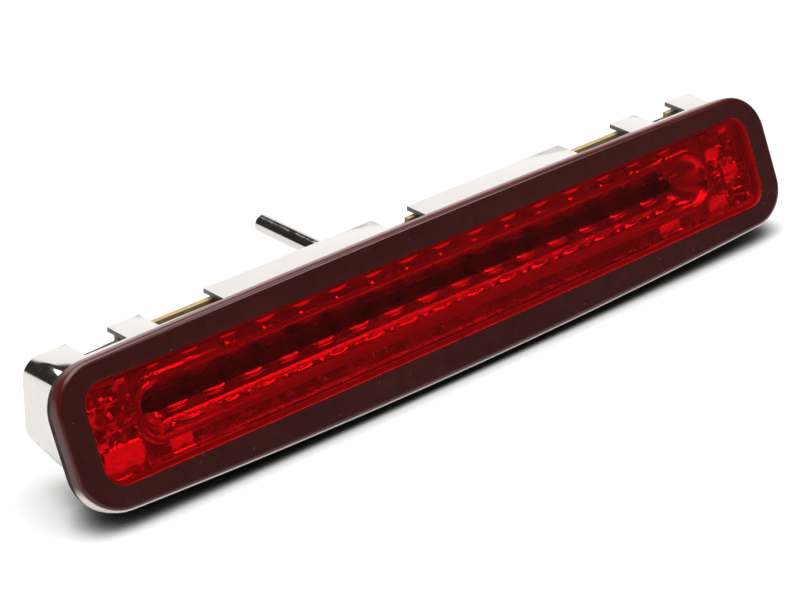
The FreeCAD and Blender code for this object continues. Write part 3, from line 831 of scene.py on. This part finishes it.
@dataclass
class ReflectorOptics:
    """The faceted bright face behind the lens: a racetrack trough with terraces under the LEDs."""

    step: float = 0.42
    half_length: float = 111.0
    centre: float = 0.75
    half_height: float = 7.75
    corner: float = 6.5
    shelf: float = 5.3
    thickness: float = 0.2
    slot_depth: float = 14.9
    slot_half: float = 105.0
    border: float = 1.5
    bright_from: float = 116.0
    trim: float = 0.2
    led_zone: float = 104.0
    facet_start: float = 112.0
    facet_width: float = 5.8
    facet_height: float = 7.2
    facet_bottom: float = -14.2
    upper: tuple[Point, ...] = ((0.0, 5.3), (0.3, 5.5), (4.6, 14.4), (5.2, 15.2), (9.0, 15.3))
    lower: tuple[Point, ...] = ((0.0, 5.3), (0.25, 5.5), (0.55, 8.4), (2.7, 8.7), (3.1, 12.0),
                                (6.3, 12.3), (6.8, 15.2), (9.0, 15.3))
    end: tuple[Point, ...] = ((0.0, 4.4), (0.4, 4.4), (0.8, 5.4), (1.6, 5.7), (2.0, 6.6),
                              (5.4, 13.4), (6.4, 15.2), (9.0, 15.3))
    ridges: tuple[Point, ...] = ((0.0, 0.6), (0.35, 0.6), (0.7, 0.2), (1.0, 0.35), (1.5, 0.0))
    patches: tuple[Patch, ...] = (Patch(-104.5, -97.0, -12.0, -7.6, 0.24),
                                  Patch(86.0, 95.0, -12.0, -8.0, 0.24),
                                  Patch(-126.5, -113.5, -12.6, -4.0, 0.25),
                                  Patch(108.5, 116.0, -12.8, -7.0, 0.26),
                                  Patch(117.5, 124.0, -4.0, 1.0, 0.26),
                                  Patch(112.5, 118.5, 3.0, 7.5, 0.28))

    def racetrack(self, x: float, z: float) -> float:
        """How far inside the racetrack a point lies, negative outside."""
        dx = abs(x) - (self.half_length - self.corner)
        dz = abs(z - self.centre) - (self.half_height - self.corner)
        outer = math.hypot(max(dx, 0.0), max(dz, 0.0)) + min(max(dx, dz), 0.0)
        return self.corner - outer

    def trough(self, x: float, z: float, inside: float) -> float:
        """Depth inside the racetrack."""
        low_side = smooth(0.9, -0.3, z)
        ends = smooth(99.0, 105.5, abs(x))
        middle = (1 - low_side) * follow(self.upper, inside) + low_side * follow(self.lower, inside)
        wave = 0.35 * noise.noise(Vector((x * 0.35, z * 0.4, 5.0)))
        return (1 - ends) * middle + ends * (follow(self.end, inside) + wave)

    def end_facets(self, x: float, z: float) -> float:
        """Tilted, wavy facets at both ends of the lamp."""
        across = (abs(x) - self.facet_start) / self.facet_width
        up = (z - self.facet_bottom) / self.facet_height
        column, row = math.floor(across), math.floor(up)
        u, v = across - column - 0.5, up - row - 0.5
        pick = noise.cell_vector(Vector((column + 0.5, row + 0.5, 3.5 if x > 0 else 9.5)))
        tilt = 1.7 * (pick.x - 0.5) * u + 1.9 * (pick.y - 0.45) * v
        wave = 0.42 * noise.noise(Vector((x * 0.32, z * 0.36, 2.0)))
        wave += 0.10 * noise.noise(Vector((x * 1.1, z * 1.2, 6.0)))
        return self.shelf - 0.9 - 0.8 * pick.z + tilt + wave

    def banks(self, x: float, z: float, outside: float) -> float:
        """Depth on the shelf round the racetrack."""
        share = 0.12 + 0.88 * smooth(70.0, 104.0, abs(x))
        depth = self.shelf - share * follow(self.ridges, outside)
        if z < -7.4:
            depth -= 0.11 * (-7.4 - z)
            depth -= 0.01 * (1 + math.cos(2 * math.pi * z / 1.3))
            depth -= 0.06 * smooth(-11.9, -12.15, z)
        elif z > 8.6:
            depth += 0.02 * math.cos(2 * math.pi * z / 1.1)
        ends = smooth(112.2, 112.9, abs(x))
        return (1 - ends) * depth + ends * min(5.3, max(2.9, self.end_facets(x, z)))

    def depth(self, x: float, z: float) -> float:
        """Depth of the bright face behind the lens front, anywhere in the window."""
        inside = self.racetrack(x, z)
        depth = self.trough(x, z, inside) if inside > 0 else self.banks(x, z, -inside)
        if abs(x) < self.led_zone:
            depth -= sum(row.value.rise(x, z) for row in Row)
        for patch in self.patches:
            if patch.covers(x, z):
                depth = self.shelf - patch.rise(x, z)
        margin = WINDOW.inside(x, z)
        return min(depth, 2.75 + 2.6 * max(0.0, margin - 0.25))

    def build(self) -> bpy.types.Object:
        """Model the face from a grid that is trimmed to the window and pressed to depth."""
        bm = bmesh.new()
        columns = round((WINDOW.length + 2) / self.step)
        rows = round((WINDOW.top + WINDOW.bottom + 2) / self.step)
        bmesh.ops.create_grid(bm, x_segments=columns, y_segments=rows, size=0.5)
        width = columns * self.step
        height = rows * self.step
        for vert in bm.verts:
            vert.co = Vector((vert.co.x * width, 0.0, vert.co.y * height))
        spare = [face for face in bm.faces
                 if any(WINDOW.inside(v.co.x, v.co.z) < -0.35 * self.step for v in face.verts)]
        bmesh.ops.delete(bm, geom=spare, context="FACES")
        for vert in bm.verts:
            if vert.is_boundary:
                self.pull_to_edge(vert, self.trim)
        for vert in bm.verts:
            x, z = vert.co.x, vert.co.z
            vert.co = Vector((x, self.depth(x, z), z + WINDOW.bow(x, z)))
        # Painted shade: faces at the bottom of the LED slot, and along the window border short of
        # the ends, take the dark matt colour in place of plating. The border at the ends takes the
        # pale border colour.
        for face in bm.faces:
            middle = face.calc_center_median()
            if middle.y > self.slot_depth and abs(middle.x) < self.slot_half:
                face.material_index = 1
            elif WINDOW.inside(middle.x, middle.z) < self.border:
                face.material_index = 2 if abs(middle.x) > self.bright_from else 1
        bmesh.ops.solidify(bm, geom=bm.faces[:], thickness=self.thickness)
        piece = finish_mesh(bm, "reflector_optics", lens_frame(), 34.0, 1e-5)
        Palette.reflector.put_on(piece)
        piece.data.materials.append(Palette.slot_painted_shade.material())
        piece.data.materials.append(Palette.window_border.material())
        return piece

    def pull_to_edge(self, vert: bmesh.types.BMVert, inset: float) -> None:
        """Move a border vertex to a line just inside the window's outline."""
        x, z = vert.co.x, vert.co.z
        here = WINDOW.inside(x, z)
        reach = 0.05
        slope = Vector((WINDOW.inside(x + reach, z) - WINDOW.inside(x - reach, z), 0.0,
                        WINDOW.inside(x, z + reach) - WINDOW.inside(x, z - reach)))
        if slope.length > 0:
            vert.co += slope.normalized() * (inset - here)


# ---- LEDs ----------------------------------------------------------------------------------------

@dataclass
class Led:
    """A clear 5 mm LED: resin body, reflector cup on one lead, post on the other."""

    number: int
    x: float
    radius: float = 2.5
    collar: float = 2.9
    tip: float = 14.9
    length: float = 8.7
    lead: float = 0.28
    spacing: float = 2.54
    sides: int = 24

    def body(self, bm: bmesh.types.BMesh) -> None:
        """Spin the resin body's half section round its axis."""
        base = -self.tip + self.length
        shoulder = -self.tip + self.radius
        section = [(0.0, -self.tip)]
        for step in range(1, 7):
            turn = math.pi / 2 * step / 6
            section.append((self.radius * math.sin(turn), shoulder - self.radius * math.cos(turn)))
        section += [(self.radius, base - 1.0), (self.collar, base - 1.0), (self.collar, base),
                    (0.0, base)]
        verts = [bm.verts.new((self.x + r, y, LED_HEIGHT)) for r, y in section]
        edges = [bm.edges.new(pair) for pair in zip(verts, verts[1:])]
        bmesh.ops.spin(bm, geom=verts + edges, cent=(self.x, 0.0, LED_HEIGHT), axis=(0.0, 1.0, 0.0),
                       angle=2 * math.pi, steps=self.sides, use_merge=True)
        bmesh.ops.remove_doubles(bm, verts=bm.verts[:], dist=1e-4)

    def metalwork(self, bm: bmesh.types.BMesh) -> None:
        """Add the leads, the cup with its chip, and the post."""
        base = -self.tip + self.length
        for side in (-1, 1):
            spot = Vector((self.x + side * self.spacing / 2, 0.0, LED_HEIGHT))
            rod(bm, self.lead, spot, base - 0.02, BOARD_REAR + 1.1, 8)
        axis = Vector((self.x, 0.0, LED_HEIGHT))
        tip = Vector((self.x + 0.5, 0.0, LED_HEIGHT))
        rod(bm, 0.45, axis, base - 5.0, base - 4.4, 12, 0.8)
        low = Vector((self.x - self.spacing / 2 - 0.28, base - 4.4, LED_HEIGHT - 0.25))
        high = Vector((self.x + 0.35, base - 0.6, LED_HEIGHT + 0.25))
        block(bm, low, high, 0.06, 1)
        post = Vector((self.x + self.spacing / 2, 0.0, LED_HEIGHT))
        rod(bm, 0.25, post, base - 4.2, base - 0.6, 8)
        rod(bm, 0.12, tip, base - 4.9, base - 4.5, 8)

    def build(self) -> bpy.types.Object:
        """Model one LED with both its materials."""
        bm = bmesh.new()
        self.body(bm)
        resin_faces = set(bm.faces)
        self.metalwork(bm)
        for face in bm.faces:
            face.material_index = 0 if face in resin_faces else 1
        piece = finish_mesh(bm, "clear_led_%02d" % self.number, part_frame(), 40.0, 1e-6)
        Palette.resin.put_on(piece)
        piece.data.materials.append(Palette.leadframe.material())
        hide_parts("led_%02d" % self.number)
        return piece


# ---- rear of the boards --------------------------------------------------------------------------

@dataclass
class BoardDetails:
    """What is soldered and screwed to the rear of the boards."""

    screw_places: tuple[float, ...] = (13.3, 53.2, 93.1, 122.0)
    screw_height: float = 8.6
    head_radius: float = 2.1
    head: float = 1.3
    shank_radius: float = 0.95
    shank: float = 7.0
    joint_radius: float = 0.95
    joint_height: float = 0.8
    lead_spacing: float = 2.54
    resistor: tuple[float, float, float] = (3.2, 0.6, 1.6)
    diode: tuple[float, float, float] = (4.3, 2.1, 2.6)

    def screw(self, bm: bmesh.types.BMesh, x: float, turn: float) -> None:
        """Add one pan-head screw with a cross recess.

        Args:
            bm: the mesh to add to.
            x: the screw's distance along X.
            turn: how far the recess is turned, in radians.
        """
        start = len(bm.verts)
        section = [(0.0, BOARD_REAR - self.shank), (self.shank_radius, BOARD_REAR - self.shank),
                   (self.shank_radius, BOARD_REAR), (self.head_radius, BOARD_REAR),
                   (self.head_radius, BOARD_REAR + 0.5), (1.9, BOARD_REAR + 0.9),
                   (1.4, BOARD_REAR + 1.2), (0.75, BOARD_REAR + self.head),
                   (0.0, BOARD_REAR + self.head)]
        verts = [bm.verts.new((x + r, y, self.screw_height)) for r, y in section]
        edges = [bm.edges.new(pair) for pair in zip(verts, verts[1:])]
        bmesh.ops.spin(bm, geom=verts + edges, cent=(x, 0.0, self.screw_height),
                       axis=(0.0, 1.0, 0.0), angle=2 * math.pi, steps=24, use_merge=True)
        bm.verts.ensure_lookup_table()
        made = [vert for vert in bm.verts[start:] if vert.is_valid]
        bmesh.ops.remove_doubles(bm, verts=made, dist=1e-4)
        for arm in range(2):
            spin = Matrix.Rotation(turn + arm * math.pi / 2, 4, "Y")
            cut = bmesh.ops.create_cube(bm, size=1.0)["verts"]
            on_head = Vector((x, BOARD_REAR + self.head - 0.05, self.screw_height))
            place = (Matrix.Translation(on_head) @ spin
                     @ Matrix.Diagonal((2.2, 0.18, 0.42, 1.0)))
            bmesh.ops.transform(bm, matrix=place, verts=cut)
            for face in {face for vert in cut for face in vert.link_faces}:
                face.material_index = 1

    def build_screws(self) -> bpy.types.Object:
        """Model the eight screws as one piece."""
        bm = bmesh.new()
        for index, place in enumerate(self.screw_places):
            for side in (-1, 1):
                self.screw(bm, side * place, 0.3 + 0.9 * index + 0.5 * side)
        piece = finish_mesh(bm, "pan_head_screws", part_frame(), 40.0, 1e-6)
        Palette.screw.put_on(piece)
        piece.data.materials.append(Palette.black.material())
        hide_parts("board_screws")
        return piece

    def build_joints(self) -> bpy.types.Object:
        """Model the solder fillets round every LED lead."""
        bm = bmesh.new()
        for x in led_places():
            for side in (-1, 1):
                axis_x = x + side * self.lead_spacing / 2
                section = [(0.29, BOARD_REAR), (self.joint_radius, BOARD_REAR),
                           (0.62, BOARD_REAR + 0.22), (0.42, BOARD_REAR + 0.5),
                           (0.30, BOARD_REAR + self.joint_height)]
                verts = [bm.verts.new((axis_x + r, y, LED_HEIGHT)) for r, y in section]
                edges = [bm.edges.new(pair) for pair in zip(verts, verts[1:])]
                edges.append(bm.edges.new((verts[-1], verts[0])))
                bmesh.ops.spin(bm, geom=verts + edges, cent=(axis_x, 0.0, LED_HEIGHT),
                               axis=(0.0, 1.0, 0.0), angle=2 * math.pi, steps=14, use_merge=True)
        piece = finish_mesh(bm, "solder_fillets", part_frame(), 50.0, 1e-5)
        Palette.solder.put_on(piece)
        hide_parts("solder_joints")
        return piece

    def chip(self, bm: bmesh.types.BMesh, size: tuple[float, float, float], x: float, z: float,
             cap: float) -> None:
        """Add a surface part: a black body between two tinned ends.

        Args:
            bm: the mesh to add to.
            size: length, height and width in mm.
            x: middle along X.
            z: middle in height.
            cap: length of each tinned end.
        """
        length, height, width = size
        low = Vector((x - length / 2 + cap * 0.6, BOARD_REAR, z - width / 2 + 0.04))
        high = Vector((x + length / 2 - cap * 0.6, BOARD_REAR + height, z + width / 2 - 0.04))
        for face in block(bm, low, high, 0.08):
            face.material_index = 0
        for side in (-1, 1):
            outer = x + side * length / 2
            inner = outer - side * cap
            ends = sorted((outer, inner))
            corner = Vector((ends[0], BOARD_REAR, z - width / 2))
            other = Vector((ends[1], BOARD_REAR + height * 0.94, z + width / 2))
            for face in block(bm, corner, other, 0.07):
                face.material_index = 1

    def build_chips(self, name: str, node: str, size: tuple[float, float, float],
                    places: list[Point], cap: float) -> bpy.types.Object:
        """Model a set of alike surface parts as one piece.

        Args:
            name: the piece's name.
            node: the CAD node it stands for.
            size: length, height and width in mm.
            places: (x, z) of each.
            cap: length of each tinned end.

        Returns:
            The new piece.
        """
        bm = bmesh.new()
        for x, z in places:
            self.chip(bm, size, x, z, cap)
        piece = finish_mesh(bm, name, part_frame(), 40.0, 1e-6)
        Palette.black.put_on(piece)
        piece.data.materials.append(Palette.solder.material())
        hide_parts(node)
        return piece

    def build(self) -> list[bpy.types.Object]:
        """Model everything on the rear of the boards."""
        resistors = [(side * x, 3.4) for side in (-1, 1) for x in (33.3, 73.1)]
        resistors += [(side * (128.4 - self.resistor[0]), 11.6) for side in (-1, 1)]
        diodes = [(side * 46.5, 9.4) for side in (-1, 1)]
        return [self.build_screws(), self.build_joints(),
                self.build_chips("chip_resistors", "resistors", self.resistor, resistors, 0.5),
                self.build_chips("rectifier_diodes", "diodes", self.diode, diodes, 0.6)]


# ---- carried-over pieces -------------------------------------------------------------------------

@dataclass
class HousingShell:
    """The plated housing, with the small rounding that its moulded edges have."""

    edge_round: float = 0.2
    segments: int = 2
    sharp: float = math.radians(28.0)
    notched: float = 118.0
    top_wall: float = 14.0

    def build(self) -> bpy.types.Object:
        """Copy the CAD housing, merge its faces, round its sharp edges and paint a dark reflection
        on the notches' end faces.
        """
        bm = bmesh.new()
        bm.from_mesh(frame["nodes"]["housing"].data)
        bmesh.ops.transform(bm, matrix=Matrix.Scale(1 / MM, 4), verts=bm.verts[:])
        bmesh.ops.remove_doubles(bm, verts=bm.verts[:], dist=1e-3)
        bmesh.ops.dissolve_limit(bm, angle_limit=math.radians(0.5), verts=bm.verts[:],
                                 edges=bm.edges[:])
        edges = [edge for edge in bm.edges
                 if edge.is_manifold and edge.calc_face_angle(0.0) > self.sharp]
        bmesh.ops.bevel(bm, geom=edges, offset=self.edge_round, offset_type="OFFSET",
                        segments=self.segments, profile=0.5, affect="EDGES", material=-1,
                        clamp_overlap=True, loop_slide=True)
        # Painted dark reflection: the end faces of the notches in the top wall take a dark matt
        # colour in place of plating.
        for face in bm.faces:
            middle = face.calc_center_median()
            on_end = abs(face.normal.x) > 0.9 and abs(middle.x) < self.notched
            if on_end and middle.z > self.top_wall:
                face.material_index = 1
        piece = finish_mesh(bm, "plated_housing", part_frame(), 32.0, 1e-4)
        Palette.housing.put_on(piece)
        piece.data.materials.append(Palette.painted_dark_reflection.material())
        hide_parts("housing")
        return piece


def dress_cad_nodes() -> None:
    """Give the CAD nodes that stay their finishes."""
    finishes = {"gasket": Palette.foam, "reflector": Palette.reflector_body,
                "locating_pin": Palette.pin, "left_board": Palette.board,
                "right_board": Palette.board, "left_end_board": Palette.board,
                "right_end_board": Palette.board, "wire_links": Palette.wire,
                "feed_tabs": Palette.brass}
    for name, finish in finishes.items():
        finish.put_on(frame["nodes"][name])
        log.info("%s dressed as %s", name, finish.name)


# ---- studio --------------------------------------------------------------------------------------

@dataclass(frozen=True)
class StudioFloor(Finish):
    """Pale, softly lit floor that only darkens close under the lamp."""

    reach: float = 0.011
    light: float = 0.46

    def pattern(self, graph: Graph, shader: bpy.types.Node) -> None:
        """Colour and a light of its own, faded by ambient occlusion close under the lamp."""
        cover = graph.add("ShaderNodeAmbientOcclusion", {"Distance": self.reach}, samples=12)
        clear = graph.ramp(cover.outputs["AO"], 0.4, 0.95)
        grain = self.grain(graph, 40.0, 0.02)
        open_floor = graph.blend(grain.outputs["Mask"], paint(self.color),
                                 paint((0.52, 0.52, 0.52)))
        graph.feed(shader, "Base Color", graph.blend(clear, paint((0.02, 0.02, 0.02)), open_floor))
        graph.feed(shader, "Emission Color", graph.blend(clear, paint((0.0, 0.0, 0.0)),
                                                         paint((self.light,) * 3)))
        graph.feed(shader, "Emission Strength", 1.0)


@dataclass
class Studio:
    """A pale floor, soft lights, a sweep of daylight behind and the camera."""

    floor_z: float
    camera_spot: tuple[float, float, float] = (-0.538961, -0.579129, 0.390935)
    azimuth: float = math.radians(43.161)
    elevation: float = math.radians(26.969)
    roll: float = math.radians(0.155)
    lens: float = 137.1

    def camera(self) -> None:
        """Place the camera."""
        data = bpy.data.cameras.new("camera")
        data.sensor_width = 36.0
        data.sensor_fit = "HORIZONTAL"
        data.lens = self.lens
        data.clip_start = 0.01
        thing = bpy.data.objects.new("camera", data)
        bpy.context.scene.collection.objects.link(thing)
        turn = (Matrix.Rotation(-self.azimuth, 4, "Z")
                @ Matrix.Rotation(math.pi / 2 - self.elevation, 4, "X")
                @ Matrix.Rotation(-self.roll, 4, "Z"))
        thing.matrix_world = Matrix.Translation(self.camera_spot) @ turn
        bpy.context.scene.camera = thing

    def floor(self) -> None:
        """Lay the floor under the lamp."""
        bm = bmesh.new()
        bmesh.ops.create_grid(bm, x_segments=2, y_segments=2, size=6.0)
        bmesh.ops.translate(bm, vec=(0.0, 0.0, self.floor_z), verts=bm.verts[:])
        mesh = bpy.data.meshes.new("floor")
        bm.to_mesh(mesh)
        bm.free()
        thing = bpy.data.objects.new("floor", mesh)
        bpy.context.scene.collection.objects.link(thing)
        finish = StudioFloor("studio_floor", "", (0.50, 0.50, 0.50), 0.8, specular=0.0)
        thing.data.materials.append(finish.material())

    def softbox(self, name: str, spot: tuple[float, float, float], size: tuple[float, float],
                watts: float, aim: tuple[float, float, float] = (0.0, -0.01, 0.0)) -> None:
        """Add one soft light.

        Args:
            name: its name.
            spot: where it stands, in metres.
            size: width and height, in metres.
            watts: its power.
            aim: the point it faces.
        """
        data = bpy.data.lights.new(name, "AREA")
        data.shape = "RECTANGLE"
        data.size, data.size_y = size
        data.energy = watts
        thing = bpy.data.objects.new(name, data)
        bpy.context.scene.collection.objects.link(thing)
        look = (Vector(aim) - Vector(spot)).to_track_quat("-Z", "Y")
        thing.matrix_world = Matrix.Translation(spot) @ look.to_matrix().to_4x4()

    def world(self) -> None:
        """A white backdrop for the camera, and a soft gradient for reflections."""
        world = bpy.data.worlds.new("studio")
        bpy.context.scene.world = world
        world.use_nodes = True
        graph = Graph(world.node_tree)
        way = graph.add("ShaderNodeSeparateXYZ", {0: graph.add("ShaderNodeTexCoord")
                                                  .outputs["Generated"]})
        back = graph.ramp(way.outputs[1], 0.0, 0.45)
        sweep = graph.ramp(way.outputs[2], 0.56, 0.47)
        right = graph.ramp(way.outputs[0], -0.1, 0.35)
        glow = graph.maths("MULTIPLY", graph.maths("MULTIPLY", back, sweep), right)
        front = graph.maths("MULTIPLY", graph.ramp(way.outputs[1], 0.1, -0.4),
                            graph.ramp(way.outputs[2], 0.5, 0.15))
        strength = graph.maths("ADD", graph.ramp(glow, 0.0, 1.0, 0.035, 1.3),
                               graph.maths("MULTIPLY", front, 0.11))
        camera = graph.add("ShaderNodeLightPath").outputs["Is Camera Ray"]
        shown = graph.add("ShaderNodeMix", {0: camera, 2: strength, 3: 1.0}).outputs[0]
        light = graph.add("ShaderNodeBackground", {"Color": (1.0, 0.985, 0.97, 1.0),
                                                   "Strength": shown})
        sink = graph.add("ShaderNodeOutputWorld")
        graph.feed(sink, "Surface", light.outputs[0])

    def build(self) -> None:
        """Set up the whole studio."""
        self.camera()
        self.floor()
        self.softbox("overhead_softbox", (0.1, 0.05, 1.25), (1.7, 1.2), 31.0)
        self.softbox("front_strip", (0.9, -0.9, 0.85), (0.4, 0.16), 2.5)
        self.world()
        scene = bpy.context.scene
        scene.view_settings.view_transform = "Standard"
        scene.cycles.use_denoising = True


def main() -> None:
    """Build the lamp and its studio."""
    logging.basicConfig(level=logging.INFO, format="%(message)s")
    Studio(CAD_BOX[0][2]).build()
    dress_cad_nodes()
    cover = FrontCover()
    builders: list[Callable[[], object]] = [cover.build_pane, cover.build_rim,
                                            ReflectorOptics().build, HousingShell().build]
    builders += [Led(number, x).build for number, x in enumerate(led_places(), start=1)]
    builders.append(BoardDetails().build)
    for build in builders:
        made = build()
        for piece in made if isinstance(made, list) else [made]:
            log.info("%s: %d faces", piece.name, len(piece.data.polygons))


if __name__ == "__main__":
    main()
